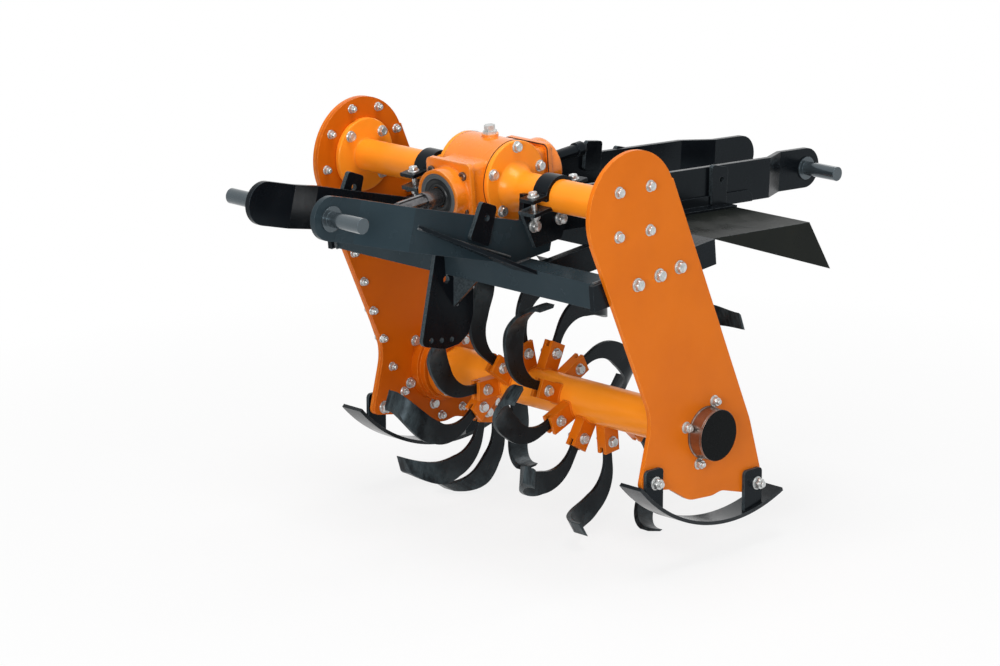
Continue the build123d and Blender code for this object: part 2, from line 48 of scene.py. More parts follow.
print("frame loaded,", len(cadNodes), "pieces")

# main places, worked out from the frame; lengths typed below are millimetres
mm = 0.001
rotorAxis = np.array([j for j in frame["joints"] if j["name"] == "rotor_spin"][0]["pos_m"])
tubeAxis = rotorAxis - np.array([0, 228, -511]) * mm      # middle of the cross tube
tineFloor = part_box("tines")[0].z
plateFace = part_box("side_plate_right")[1].x / mm          # outer face of the plain side
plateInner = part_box("side_plate_right")[0].x / mm
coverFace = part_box("gear_case_cover")[1].x / mm           # inner face of the gear case side
boxPitch = np.radians(5.5)                                # the gearbox rises towards the rear
boxFaces = {"right": 56, "left": -73}                     # its two side faces, under the tube flanges
boxUp = 12                                                # its middle, above the cross tube's axis
flangeThick = 12                                          # of each cross tube flange
rng = np.random.default_rng(7)


def atTube(points):
    # Points in millimetres from the middle of the cross tube, moved to the frame in metres.
    return np.asarray(points, float) * mm + tubeAxis


def atRotor(points):
    # The same from the rotor axis.
    return np.asarray(points, float) * mm + rotorAxis


def atBox(points):
    # Points in the gearbox's own pitch, turned about the cross tube: y · cos − z · sin, y · sin + z · cos.
    x, y, z = np.asarray(points, float).T
    c, s = np.cos(boxPitch), np.sin(boxPitch)
    return atTube(np.stack([x, y * c - z * s, y * s + z * c], -1))


# surfaces
def gridQuads(rows, cols, closedRows=False, closedCols=False):
    # Four corners of each cell of a grid of points; a closed direction joins its last row to its first.
    i, j = np.meshgrid(np.arange(rows - (not closedRows)), np.arange(cols - (not closedCols)), indexing="ij")
    down, over = (i + 1) % rows, (j + 1) % cols
    return np.stack([i * cols + j, i * cols + over, down * cols + over, down * cols + j], -1).reshape(-1, 4)


smoothTo = 38                                             # degrees between faces that still shade as one


def addPiece(name, points, quads, material, body, slot):
    # Mesh from whole arrays. Doubled points at poles are merged and the faces turned outwards.
    mesh = bpy.data.meshes.new(name)
    mesh.vertices.add(len(points))
    mesh.vertices.foreach_set("co", np.ascontiguousarray(points, np.float32).ravel())
    mesh.loops.add(quads.size)
    mesh.loops.foreach_set("vertex_index", quads.astype(np.int32).ravel())
    mesh.polygons.add(len(quads))
    mesh.polygons.foreach_set("loop_start", np.arange(0, quads.size, 4, dtype=np.int32))
    mesh.update(calc_edges=True)
    bm = bmesh.new()
    bm.from_mesh(mesh)
    bmesh.ops.remove_doubles(bm, verts=bm.verts, dist=2e-6)
    bmesh.ops.dissolve_degenerate(bm, edges=bm.edges, dist=1e-6)
    bmesh.ops.recalc_face_normals(bm, faces=bm.faces)
    bm.to_mesh(mesh)
    bm.free()
    mesh.polygons.foreach_set("use_smooth", np.ones(len(mesh.polygons), bool))
    mesh.set_sharp_from_angle(angle=np.radians(smoothTo))
    mesh.materials.append(material)
    piece = bpy.data.objects.new(name, mesh)
    bpy.context.scene.collection.objects.link(piece)
    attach(piece, body)
    return piece


def turned(profile, steps=48):
    # Surface of revolution about +Z: each profile row is (radius, share of a hexagon, height).
    # The radius at angle a is radius · (1 − share + share / cos(a − middle of the nearest flat)).
    radius, share, height = np.asarray(profile, float).T[:, :, None]
    a = np.arange(steps) * 2 * np.pi / steps
    flat = np.pi / 6
    toFlat = (a + flat) % (2 * flat) - flat
    r = radius * (1 - share + share / np.cos(toFlat))
    points = np.stack([r * np.cos(a), r * np.sin(a), height + 0 * a], -1)
    return points.reshape(-1, 3), gridQuads(len(profile), steps, closedCols=True)


def copies(shape, places, normals, spins=None):
    # One mesh of a shape set at many places: its +Z goes along each normal, after a turn of spin about it.
    points, quads = shape
    places = np.asarray(places, float).reshape(-1, 3)
    n = np.broadcast_to(np.asarray(normals, float), places.shape)
    n = n / np.linalg.norm(n, axis=1, keepdims=True)
    side = np.where(np.abs(n[:, :1]) < 0.9, [[1.0, 0, 0]], [[0, 1.0, 0]])
    u = np.cross(side, n)
    u = u / np.linalg.norm(u, axis=1, keepdims=True)
    v = np.cross(n, u)
    a = rng.uniform(0, np.pi, len(places)) if spins is None else np.broadcast_to(spins, len(places))
    c, s = np.cos(a)[:, None], np.sin(a)[:, None]
    axes = np.stack([u * c + v * s, v * c - u * s, n], 1)
    made = np.einsum("pk,mkj->mpj", points * mm, axes) + places[:, None]
    step = np.arange(len(places))[:, None, None] * len(points)
    return made.reshape(-1, 3), (quads[None] + step).reshape(-1, 4)


def together(shapes):
    # Several meshes as one: points stacked, and each mesh's faces counted on from the one before.
    starts = np.cumsum([0] + [len(points) for points, quads in shapes])
    return (np.concatenate([points for points, quads in shapes]),
            np.concatenate([quads + start for (points, quads), start in zip(shapes, starts)]))


# materials
def newMaterial(name):
    # A material with its shader, a helper that adds a node with its inputs, and the tree's link call.
    material = bpy.data.materials.new(name)
    material.use_nodes = True
    tree = material.node_tree

    def add(kind, inputs=(), **settings):
        node = tree.nodes.new(kind)
        for key, value in settings.items():
            setattr(node, key, value)
        for key, value in dict(inputs).items():
            if isinstance(value, bpy.types.NodeSocket):
                tree.links.new(value, node.inputs[key])
            else:
                node.inputs[key].default_value = value
        return node

    return material, tree.nodes["Principled BSDF"], add, tree.links.new


def noise(add, scale, detail=3.0, roughness=0.55, stretch=(1, 1, 1)):
    # Noise over the object's own coordinates, in features per metre.
    place = add("ShaderNodeTexCoord").outputs["Object"]
    if stretch != (1, 1, 1):
        place = add("ShaderNodeMapping", {"Vector": place, "Scale": stretch}).outputs[0]
    return add("ShaderNodeTexNoise", {"Vector": place, "Scale": scale, "Detail": detail,
                                      "Roughness": roughness}).outputs["Fac"]


def ranged(add, value, low, high, toLow=0.0, toHigh=1.0):
    return add("ShaderNodeMapRange", {0: value, 1: low, 2: high, 3: toLow, 4: toHigh}).outputs[0]


def times(add, a, b):
    return add("ShaderNodeMath", {0: a, 1: b}, operation="MULTIPLY").outputs[0]


def blendColour(add, share, first, second):
    node = add("ShaderNodeMix", data_type="RGBA")
    for socket, value in ((0, share), (6, first), (7, second)):
        if isinstance(value, bpy.types.NodeSocket):
            node.id_data.links.new(value, node.inputs[socket])
        else:
            node.inputs[socket].default_value = value
    return node.outputs[2]


def edges(add, width):
    # Share of edge: how far a rounded-off normal leans from the true one. Paint uses it for lighter edges
    # that are partly worn paint and partly a painted highlight.
    soft = add("ShaderNodeBevel", {"Radius": width}, samples=6).outputs[0]
    true = add("ShaderNodeNewGeometry").outputs["Normal"]
    lean = add("ShaderNodeVectorMath", {0: soft, 1: true}, operation="DOT_PRODUCT").outputs["Value"]
    return soft, ranged(add, lean, 0.99, 0.8)


def paintedSteel(look):
    # Enamel over steel: slow shifts of shade, orange peel, mill waves below and lighter edges, partly thin
    # paint worn through and partly a painted edge highlight.
    material, shader, add, link = newMaterial(look["name"])
    soft, edge = edges(add, look["edgeWidth"])
    cloud = ranged(add, noise(add, look["cloudScale"], 4), 0.35, 0.68)
    colour = blendColour(add, cloud, look["colour"], look["shade"])
    speck = ranged(add, noise(add, look["speckScale"], 5, 0.7), 0.62, 0.78)
    colour = blendColour(add, times(add, speck, look["dust"]), colour, look["edge"])
    patchy = ranged(add, noise(add, look["patchScale"], 4, 0.65), 0.36, 0.6)
    # edge colour laid where the rounded normal leans: thin paint worn through, and a painted edge highlight
    wornAndHighlit = times(add, times(add, edge, patchy), look["edgeWearAndHighlight"])
    colour = blendColour(add, wornAndHighlit, colour, look["edge"])
    if "cut" in look:                                     # flame-cut rims: every face not square to X
        normal = add("ShaderNodeNewGeometry").outputs["True Normal"]
        facing = add("ShaderNodeSeparateXYZ", {0: normal}).outputs[0]
        rim = ranged(add, add("ShaderNodeMath", {0: facing}, operation="ABSOLUTE").outputs[0], 0.5, 0.2)
        ragged = ranged(add, noise(add, 240, 4, 0.7), 0.3, 0.62, 0.25, 1.0)
        colour = blendColour(add, times(add, rim, ragged), colour, look["cut"])
    link(colour, shader.inputs["Base Color"])
    link(ranged(add, noise(add, look["glossScale"], 4), 0.3, 0.7, *look["gloss"]), shader.inputs["Roughness"])
    shader.inputs["Specular IOR Level"].default_value = look["specular"]
    shader.inputs["Specular Tint"].default_value = look["tint"]
    shader.inputs["Coat Weight"].default_value = look["coat"]
    shader.inputs["Coat Roughness"].default_value = look["coatRough"]
    waves = add("ShaderNodeBump", {"Height": noise(add, look["waveScale"], 2), "Strength": look["wave"],
                                   "Distance": 0.002, "Normal": soft})
    peel = add("ShaderNodeBump", {"Height": noise(add, look["grainScale"], 3), "Strength": look["grain"],
                                  "Distance": 0.0004, "Normal": waves.outputs[0]})
    link(peel.outputs[0], shader.inputs["Normal"])
    return material


# paints: colour and shade drift into each other, edge is the lighter tone on the edges where wear thins the
# paint and where a highlight is painted, gloss is its roughness
scales = {"cloudScale": 5, "speckScale": 160, "patchScale": 70, "glossScale": 18, "coatRough": 0.12}
orangeSheet = {
    **scales, "name": "orangeSheet", "colour": (0.70, 0.158, 0.005, 1), "shade": (0.65, 0.14, 0.004, 1),
    "edge": (0.95, 0.40, 0.09, 1), "edgeWidth": 0.0018, "edgeWearAndHighlight": 0.75, "dust": 0.03, "gloss": (0.30, 0.42),
    "specular": 0.3, "tint": (1, 0.62, 0.28, 1), "coat": 0.0, "wave": 0.05, "waveScale": 14,
    "grain": 0.10, "grainScale": 420}
orangeCasting = dict(
    orangeSheet, name="orangeCasting", colour=(0.82, 0.215, 0.010, 1), shade=(0.72, 0.165, 0.007, 1),
    edgeWidth=0.006, edgeWearAndHighlight=0.4, dust=0.06, gloss=(0.20, 0.34), specular=0.5, coat=0.35,
    tint=(1, 0.84, 0.66, 1), wave=0.2, waveScale=45, grain=0.3, grainScale=300)
# brighter copy of the orange paint for the tubes: painted light, standing in for the bright sheen that light
# gives them
orangeTubingPaintedLight = dict(
    orangeCasting, name="orangeTubingPaintedLight", colour=(0.98, 0.30, 0.018, 1), shade=(0.92, 0.265, 0.014, 1),
    coat=0.12, specular=0.3, tint=(1, 0.66, 0.35, 1), gloss=(0.28, 0.40), wave=0.06, waveScale=12, grain=0.10)
# darker copy of the orange sheet paint for the gear case side and its hub: painted shade, for the side that
# the machine shadows
orangeCoverPaintedShade = dict(
    orangeSheet, name="orangeCoverPaintedShade", colour=(0.60, 0.115, 0.003, 1), shade=(0.55, 0.10, 0.003, 1),
    specular=0.22, tint=(1, 0.5, 0.2, 1))
blackSheet = {
    **scales, "name": "blackSheet", "colour": (0.0025, 0.0032, 0.0045, 1), "shade": (0.005, 0.0062, 0.008, 1),
    "edge": (0.075, 0.092, 0.105, 1), "edgeWidth": 0.0018, "edgeWearAndHighlight": 0.8, "dust": 0.06, "gloss": (0.16, 0.30),
    "specular": 0.13, "tint": (0.62, 0.86, 1, 1), "coat": 0.0, "wave": 0.14, "waveScale": 16, "grain": 0.12,
    "grainScale": 380}
cutPlate = dict(blackSheet, name="cutPlate", cut=(0.055, 0.07, 0.078, 1))
shoeSteel = dict(
    blackSheet, name="shoeSteel", colour=(0.004, 0.005, 0.006, 1), shade=(0.012, 0.014, 0.016, 1),
    edge=(0.12, 0.14, 0.15, 1), specular=0.28, tint=(0.8, 0.92, 1, 1), gloss=(0.14, 0.28))
# lighter, bluer copy of the black sheet paint for the near front arm and the front cross member: painted
# reflection
frameSteelPaintedReflection = dict(
    blackSheet, name="frameSteelPaintedReflection", colour=(0.016, 0.027, 0.034, 1), shade=(0.024, 0.036, 0.043, 1),
    grain=0.3, wave=0.22)
# lighter base colour than the other black parts: a painted highlight on the pins, beside their real higher
# gloss and coat
pinSteelWithPaintedHighlight = dict(
    blackSheet, name="pinSteelWithPaintedHighlight", colour=(0.02, 0.026, 0.03, 1), shade=(0.04, 0.05, 0.056, 1),
    specular=0.7, coat=0.5, gloss=(0.12, 0.22))
blackFlap = dict(
    blackSheet, name="blackFlap", colour=(0.004, 0.0052, 0.0048, 1), shade=(0.0075, 0.0085, 0.0065, 1),
    gloss=(0.24, 0.4), wave=0.22, waveScale=7, specular=0.1, tint=(0.85, 0.95, 0.85, 1))


def bladeSteel(look):
    # Black dipped spring steel, with bare grey steel rubbed through towards the tips of the feet.
    material, shader, add, link = newMaterial("bladeSteel")
    soft, edge = edges(add, 0.0022)
    place = add("ShaderNodeTexCoord").outputs["Object"]
    off = add("ShaderNodeVectorMath", {0: place, 1: (0, rotorAxis[1], rotorAxis[2])}, operation="SUBTRACT")
    flat = add("ShaderNodeVectorMath", {0: off.outputs[0], 1: (0, 1, 1)}, operation="MULTIPLY")
    reach = add("ShaderNodeVectorMath", {0: flat.outputs[0]}, operation="LENGTH").outputs["Value"]
    tip = ranged(add, reach, look["wearFrom"], look["wearTo"])
    scratch = ranged(add, noise(add, 60, 5, 0.7, (1, 0.25, 0.25)), 0.38, 0.62)
    bare = times(add, tip, scratch)
    rim = times(add, edge, ranged(add, noise(add, 90, 4, 0.7), 0.35, 0.6))
    colour = blendColour(add, ranged(add, noise(add, 12, 4), 0.35, 0.7), look["dip"], look["dipLight"])
    colour = blendColour(add, times(add, bare, look["bareShare"]), colour, look["bare"])
    colour = blendColour(add, times(add, rim, 0.7), colour, look["bare"])
    link(colour, shader.inputs["Base Color"])
    link(ranged(add, noise(add, 40, 4), 0.3, 0.7, 0.24, 0.42), shader.inputs["Roughness"])
    shader.inputs["Specular IOR Level"].default_value = look["specular"]
    shader.inputs["Specular Tint"].default_value = look["tint"]
    bump = add("ShaderNodeBump", {"Height": noise(add, 120, 4, 0.6), "Strength": 0.25, "Distance": 0.0006,
                                  "Normal": soft})
    link(bump.outputs[0], shader.inputs["Normal"])
    return material


bladeLook = {"wearFrom": 0.20, "wearTo": 0.275, "bareShare": 0.6, "dip": (0.0035, 0.0035, 0.004, 1),
             "dipLight": (0.008, 0.009, 0.010, 1), "bare": (0.075, 0.10, 0.11, 1), "specular": 0.16,
             "tint": (0.7, 0.88, 1, 1)}


def barePlated(look):
    # Bare or plated metal: two tones in fine grain, with a matching change in polish.
    material, shader, add, link = newMaterial(look["name"])
    grain = ranged(add, noise(add, look["fine"], 5, 0.65), 0.32, 0.68)
    link(blendColour(add, grain, look["light"], look["dark"]), shader.inputs["Base Color"])
    link(ranged(add, grain, 0, 1, *look["gloss"]), shader.inputs["Roughness"])
    shader.inputs["Metallic"].default_value = look["metal"]
    bump = add("ShaderNodeBump", {"Height": grain, "Strength": look["depth"], "Distance": 0.0003})
    link(bump.outputs[0], shader.inputs["Normal"])
    return material


def turnedRing(look):
    # Lathe-turned steel with a warm oil stain: fine grooves ring the rotor axis along its length.
    material, shader, add, link = newMaterial("turnedRing")
    place = add("ShaderNodeTexCoord").outputs["Object"]
    waves = {"Vector": place, "Scale": look["grooves"], "Distortion": 0.6, "Detail": 2.0}
    groove = add("ShaderNodeTexWave", waves, bands_direction="X").outputs["Fac"]
    stain = ranged(add, noise(add, 22, 4, 0.6, (0.4, 1, 1)), 0.34, 0.66)
    link(blendColour(add, stain, look["steel"], look["oil"]), shader.inputs["Base Color"])
    link(ranged(add, groove, 0, 1, 0.2, 0.32), shader.inputs["Roughness"])
    shader.inputs["Metallic"].default_value = 0.95
    bump = add("ShaderNodeBump", {"Height": groove, "Strength": 0.35, "Distance": 0.0003})
    link(bump.outputs[0], shader.inputs["Normal"])
    return material


def sealRubber(name, colour, rough, specular=0.2, dusty=0.12):
    # Dull black rubber or plastic, slightly dusty, with a fine moulded grain.
    material, shader, add, link = newMaterial(name)
    dust = ranged(add, noise(add, 140, 4, 0.7), 0.5, 0.8)
    dustGrey = (0.11, 0.11, 0.11, 1)
    link(blendColour(add, times(add, dust, dusty), colour, dustGrey), shader.inputs["Base Color"])
    shader.inputs["Specular IOR Level"].default_value = specular
    link(ranged(add, noise(add, 50, 3), 0.3, 0.7, rough - 0.08, rough + 0.08), shader.inputs["Roughness"])
    bump = add("ShaderNodeBump", {"Height": noise(add, 900, 2), "Strength": 0.2, "Distance": 0.0002})
    link(bump.outputs[0], shader.inputs["Normal"])
    return material


orangePaint = paintedSteel(orangeSheet)
orangeCast = paintedSteel(orangeCasting)
# painted light: the brighter orange of the tubes
orangeTubePaintedLight = paintedSteel(orangeTubingPaintedLight)
# painted shade: the darker orange of the shadowed gear case side
orangeLidPaintedShade = paintedSteel(orangeCoverPaintedShade)
blackPaint = paintedSteel(blackSheet)
flapPaint = paintedSteel(blackFlap)
cutPaint = paintedSteel(cutPlate)
shoePaint = paintedSteel(shoeSteel)
# painted reflection: the lighter black of the near front arm and front cross member
framePaintedReflection = paintedSteel(frameSteelPaintedReflection)
# pins: real gloss and coat, plus a lighter base colour as painted highlight
pinPaintWithPaintedHighlight = paintedSteel(pinSteelWithPaintedHighlight)
bladePaint = bladeSteel(bladeLook)
zinc = barePlated({
    "name": "zincPlate", "light": (0.66, 0.68, 0.68, 1), "dark": (0.42, 0.43, 0.42, 1),
    "gloss": (0.24, 0.42), "metal": 0.82, "fine": 140, "depth": 0.25})
shaftSteel = barePlated({
    "name": "shaftSteel", "light": (0.20, 0.20, 0.205, 1), "dark": (0.09, 0.09, 0.095, 1),
    "gloss": (0.16, 0.30), "metal": 0.92, "fine": 60, "depth": 0.15})
darkSteel = barePlated({
    "name": "darkSteel", "light": (0.20, 0.17, 0.15, 1), "dark": (0.07, 0.06, 0.055, 1),
    "gloss": (0.26, 0.42), "metal": 0.8, "fine": 120, "depth": 0.3})
weldSkin = barePlated({
    "name": "weldSkin", "light": (0.15, 0.17, 0.18, 1), "dark": (0.02, 0.023, 0.026, 1),
    "gloss": (0.22, 0.5), "metal": 0.45, "fine": 420, "depth": 1.0})
ringSteel = turnedRing({"grooves": 120, "steel": (0.36, 0.30, 0.27, 1), "oil": (0.13, 0.085, 0.065, 1)})
sealBlack = sealRubber("sealBlack", (0.016, 0.018, 0.019, 1), 0.4, 0.3)
sealGrey = sealRubber("sealGrey", (0.085, 0.095, 0.10, 1), 0.42, 0.3)
capBlack = sealRubber("capBlack", (0.0025, 0.0035, 0.004, 1), 0.16, 0.06, 0.02)
gasketBlack = sealRubber("gasketBlack", (0.02, 0.016, 0.013, 1), 0.7)

castNodes = ("gearbox_body", "gearbox_front_housing", "gearbox_rear_cap")
sheetNodes = ("side_plate_right", "gear_case_pan", "rotor_end_left", "tine_holders")
cutNodes = ("centre_plate", "front_tab", "rear_tab", "rear_lug", "skid_brackets", "clamp_seat")
otherNodes = {
    "skid_left": shoePaint, "skid_right": shoePaint, "tines": bladePaint, "rear_cover": flapPaint,
    "breather_plug": zinc, "input_shaft": shaftSteel, "rotor_end_right": orangePaint,
    "bearing_housing_right": ringSteel, "gear_case_cover": orangeLidPaintedShade, "hub_left": orangeLidPaintedShade,
    "cross_tube_right": orangeTubePaintedLight, "cross_tube_left": orangeTubePaintedLight, "rotor_tube": orangeTubePaintedLight,
    "front_cross_member": framePaintedReflection, "front_arm_right": framePaintedReflection, "front_pin_right": pinPaintWithPaintedHighlight,
    "front_pin_left": pinPaintWithPaintedHighlight, "rear_pin_right": pinPaintWithPaintedHighlight, "rear_pin_left": pinPaintWithPaintedHighlight}
for name, node in cadNodes.items():
    finish = otherNodes.get(name, cutPaint if name.startswith(cutNodes) else blackPaint)
    finish = orangeCast if name in castNodes else orangePaint if name in sheetNodes else finish
    node.data.materials.clear()
    node.data.materials.append(finish)
print("materials ready")


# fasteners
headLook = {
    "sunk": 0.4, "soft": 0.5, "root": 1.02, "chamfer": 0.09, "face": 0.97, "dishFrom": 0.62, "dishTo": 0.56,
    "dish": 0.5, "studSoft": 1.2}


def boltHead(look):
    # Washer, chamfered hexagon and, on a nut, the rounded end of its stud. The chamfer takes 0.09 of the
    # width across flats off the hexagon's height, and the top face is 0.97 of that width.
    w, t, flat, low = look["washer"] / 2, look["washerThick"], look["across"] / 2, -headLook["sunk"]
    soft, top = headLook["soft"], look["washerThick"] + look["head"]
    rows = [(0, 0, low), (w, 0, low), (w, 0, t - soft), (w - soft, 0, t), (flat * headLook["root"], 0, t),
            (flat, 1, t), (flat, 1, top - headLook["chamfer"] * look["across"]),
            (flat * headLook["face"], 0, top)]
    if look.get("stud"):
        r, out, soft = look["stud"] / 2, top + look["studOut"], headLook["studSoft"]
        rows += [(r, 0, top), (r, 0, out - soft), (r - soft, 0, out), (0, 0, out)]
    else:
        low = top - headLook["dish"]
        rows += [(flat * headLook["dishFrom"], 0, top), (flat * headLook["dishTo"], 0, low), (0, 0, low)]
    return turned(rows, 24)


bolt12 = {"across": 18, "head": 7.5, "washer": 25, "washerThick": 2.5}
nut12 = {"across": 18, "head": 9.5, "washer": 25, "washerThick": 2.5, "stud": 11.5, "studOut": 6}
bolt14 = {"across": 22, "head": 9, "washer": 29, "washerThick": 3}
nut14 = {"across": 22, "head": 11, "washer": 29, "washerThick": 3, "stud": 13.5, "studOut": 7}
bolt10 = {"across": 15, "head": 6.5, "washer": 20, "washerThick": 2}
low10 = {"across": 13, "head": 4, "washer": 16, "washerThick": 1.2}
nut10 = {"across": 15, "head": 8, "washer": 20, "washerThick": 2, "stud": 9.5, "studOut": 5}


def onFace(x, table, turnOut):
    # Places of a row of (y, z) points on a face square to X, and the face's normal.
    y, z = np.asarray(table, float).T
    return atTube(np.stack([np.full(len(y), float(x)), y, z], -1)), (turnOut, 0, 0)


def ringOf(count, radius, first=0.0, centre=(0.0, 0.0)):
    # Points evenly round a circle: point k stands at first + k · 360 / count degrees.
    a = np.radians(first) + np.arange(count) * 2 * np.pi / count
    return np.stack([centre[0] + radius * np.cos(a), centre[1] + radius * np.sin(a)], -1)


rotorFromTube = (228, -511)                               # y and z of the rotor axis from the cross tube
plateBolts = {
    "flangeRing": ringOf(4, 65, 45),
    "lowerRow": [(11, -154.5), (76, -145.6), (137, -138.6)],
    "hubRing": ringOf(4, 68, 70, rotorFromTube),
    "brackets": [(64, -586), (384, -654)],
    "bracketThick": 8,
    "flangeThick": flangeThick}                           # what the nuts inside bear on
plateSide = [
    copies(boltHead(bolt12), *onFace(plateFace, plateBolts["flangeRing"], 1)),
    copies(boltHead(bolt14), *onFace(plateFace, plateBolts["lowerRow"], 1)),
    copies(boltHead(nut12), *onFace(plateFace, plateBolts["hubRing"], 1)),
    copies(boltHead(nut14), *onFace(plateFace + plateBolts["bracketThick"], plateBolts["brackets"], 1)),
    copies(boltHead(bolt14), *onFace(plateInner, plateBolts["brackets"], -1)),
    copies(boltHead(bolt12), *onFace(plateInner, plateBolts["hubRing"], -1)),
    copies(boltHead(nut12), *onFace(plateInner - plateBolts["flangeThick"], plateBolts["flangeRing"], -1)),
    copies(boltHead(nut14), *onFace(plateInner - plateBolts["flangeThick"], plateBolts["lowerRow"], -1))]
addPiece("plate_bolts", *together(plateSide), zinc, "chassis", "zinc_plate")

coverBolts = {
    "topRing": ringOf(60, 108, 23)[[0, 7, 14, 21, 28]],
    "frontEdge": [(-29, -217), (-2, -286), (26, -357), (56, -426), (83, -495), (118, -559)],
    "rearEdge": [(136, -96), (166, -166), (197, -236), (228, -306), (262, -376), (306, -428), (352, -480)],
    "bottom": [(144, -604), (234, -637), (300, -630), (360, -572)],
    "flangeRing": ringOf(4, 65, 45),
    "hubRing": ringOf(6, 96, 20, rotorFromTube),
    "brackets": [(58, -584), (384, -652)],
    "rimDeep": 15}                                        # cover and the case's own flange together
rimBolts = np.concatenate([coverBolts[k] for k in ("topRing", "frontEdge", "rearEdge", "bottom")])
caseSeat = coverFace - coverBolts["rimDeep"]
coverSide = [
    copies(boltHead(nut10), *onFace(coverFace, rimBolts, 1)),
    copies(boltHead(low10), *onFace(caseSeat, rimBolts, -1)),
    copies(boltHead(bolt12), *onFace(coverFace + flangeThick, coverBolts["flangeRing"], 1)),
    copies(boltHead(bolt12), *onFace(coverFace, coverBolts["hubRing"], 1)),
    copies(boltHead(nut14), *onFace(coverFace, coverBolts["brackets"], 1))]
addPiece("case_bolts", *together(coverSide), zinc, "chassis", "zinc_plate")

gearboxRing = ringOf(5, 72, 18, (0, boxUp))
gearboxSide = [
    copies(boltHead(bolt12), *onFace(boxFaces["right"] + flangeThick, gearboxRing, 1)),
    copies(boltHead(bolt12), *onFace(boxFaces["left"] - flangeThick, gearboxRing, -1))]
addPiece("gearbox_bolts", *together(gearboxSide), zinc, "chassis", "zinc_plate")

clampLook = {
    "x": 178, "tilt": 9, "ear": 60, "earTop": 14, "jawUnder": -23, "shankRadius": 5.8, "shankLong": 40,
    "lugFace": 161, "lugBolts": [(-42, -62), (35, -58)]}
tilt = np.radians(clampLook["tilt"])
along = np.array([0, np.cos(tilt), np.sin(tilt)])
upward = np.array([0, -np.sin(tilt), np.cos(tilt)])
clampX = (-clampLook["x"], clampLook["x"])
earEnds = np.array([[x, 0, 0] + side * clampLook["ear"] * along for x in clampX for side in (-1, 1)])
clampShapes = [
    copies(boltHead(bolt12), atTube(earEnds + clampLook["earTop"] * upward), upward),
    copies(boltHead(nut12), atTube(earEnds + clampLook["jawUnder"] * upward), -upward),
    copies(boltHead(bolt14), *onFace(clampLook["lugFace"], clampLook["lugBolts"], 1)),
    copies(boltHead(bolt14), *onFace(-clampLook["lugFace"], clampLook["lugBolts"], -1))]
r, long = clampLook["shankRadius"], clampLook["shankLong"]
studShank = turned([(0, 0, -long), (r, 0, -long), (r, 0, 0), (0, 0, 0)], 16)
clampShapes.append(copies(studShank, atTube(earEnds + clampLook["earTop"] * upward), upward))
addPiece("clamp_bolts", *together(clampShapes), zinc, "chassis", "zinc_plate")
print("fasteners made")


# rotor
tineRows = {
    "rightX": 3, "rightStep": 36, "rightTurns": [158, 201.5, 239, 276, 317, 355.5, 28, 81, 111],
    "leftX": -47, "leftStep": -33, "leftTurns": [27, 65.5, 104, 142.5, 181, 219.5, 258, 296.5, 335]}
i = np.arange(len(tineRows["rightTurns"]))
rightX = tineRows["rightX"] + i * tineRows["rightStep"]
leftX = tineRows["leftX"] + i * tineRows["leftStep"]
tineX = np.concatenate([rightX, leftX])
tinePhase = np.radians(tineRows["rightTurns"] + tineRows["leftTurns"])


def onRotor(x, radius, turn):
    # Points at a radius and turn about the rotor axis, x along it.
    x, radius, turn = np.broadcast_arrays(x, radius, turn)
    return atRotor(np.stack([x, radius * np.cos(turn), radius * np.sin(turn)], -1))


tineBolt = {"radius": 82, "lead": 2, "cheek": 12.5}
boltTurn = tinePhase + tineBolt["lead"] / tineBolt["radius"]
rotorShapes = [
    copies(boltHead(bolt12), onRotor(tineX + tineBolt["cheek"], tineBolt["radius"], boltTurn), (1, 0, 0)),
    copies(boltHead(nut12), onRotor(tineX - tineBolt["cheek"], tineBolt["radius"], boltTurn), (-1, 0, 0))]
endBolts = {"count": 8, "radius": 61, "first": 0.3, "sunk": 0.2}
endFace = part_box("rotor_end_left")[1].x / mm - endBolts["sunk"]
turns = np.arange(endBolts["count"]) * 2 * np.pi / endBolts["count"] + endBolts["first"]
rotorShapes.append(copies(boltHead(bolt10), onRotor(endFace, endBolts["radius"], turns), (1, 0, 0)))
addPiece("rotor_bolts", *together(rotorShapes), zinc, "rotor", "zinc_plate")


# cross tubes
tubeLook = {
    "radius": 35, "neck": 52, "flare": 36, "seatRadius": 84.5, "endRadius": 80, "round": 1.5,
    "core": 20, "lap": 2}                                 # hidden bore; the neck starts inside its seat


def roundedDisc(radius, low, high, soft, core):
    # Closed profile of a disc from height low to high, with its two rims taken off by soft.
    return [(core, 0, low), (radius - soft, 0, low), (radius, 0, low + soft), (radius, 0, high - soft),
            (radius - soft, 0, high), (core, 0, high)]


def flaredTube(length, look):
    # Tube with a flange at each end. The neck sweeps out to the first flange: at height h past it the
    # radius is tube + (neck - tube) · (1 - h / flare)². Returned about its own axis, flange face at 0.
    h = np.linspace(0, 1, 24) ** 1.5 * look["flare"]
    neck = look["radius"] + (look["neck"] - look["radius"]) * (1 - h / look["flare"]) ** 2
    core, foot = look["core"], flangeThick - look["lap"]
    rows = [(core, 0, foot), (look["neck"], 0, foot)] + [(r, 0, flangeThick + at) for r, at in zip(neck, h)]
    rows += [(look["radius"], 0, length - flangeThick)]
    rows += roundedDisc(look["endRadius"], length - flangeThick, length, look["round"], core)[1:]
    seat = roundedDisc(look["seatRadius"], 0, flangeThick, look["round"], core)
    return turned(rows + rows[:1], 128), turned(seat + seat[:1], 128)


for name, endX in (("right", plateInner), ("left", coverFace)):
    seatX = boxFaces[name]
    tube, seat = flaredTube(abs(endX - seatX), tubeLook)
    shapes = [copies(shape, atTube([(seatX, 0, up)]), (np.sign(seatX), 0, 0), 0)
              for shape, up in ((tube, 0), (seat, boxUp))]
    crossTube = addPiece("tube_" + name, *together(shapes), orangeTubePaintedLight, "chassis", "orange_paint")
    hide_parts("cross_tube_" + name)
print("cross tubes made")


# weld beads
beadLook = {
    "ripple": 0.16, "swell": 0.14, "swells": 12, "around": 8, "tip": 0.02, "step": 1.5,
    "aside": (1.013, 0.017, 0.011)}                       # off every axis, so that no path runs along it


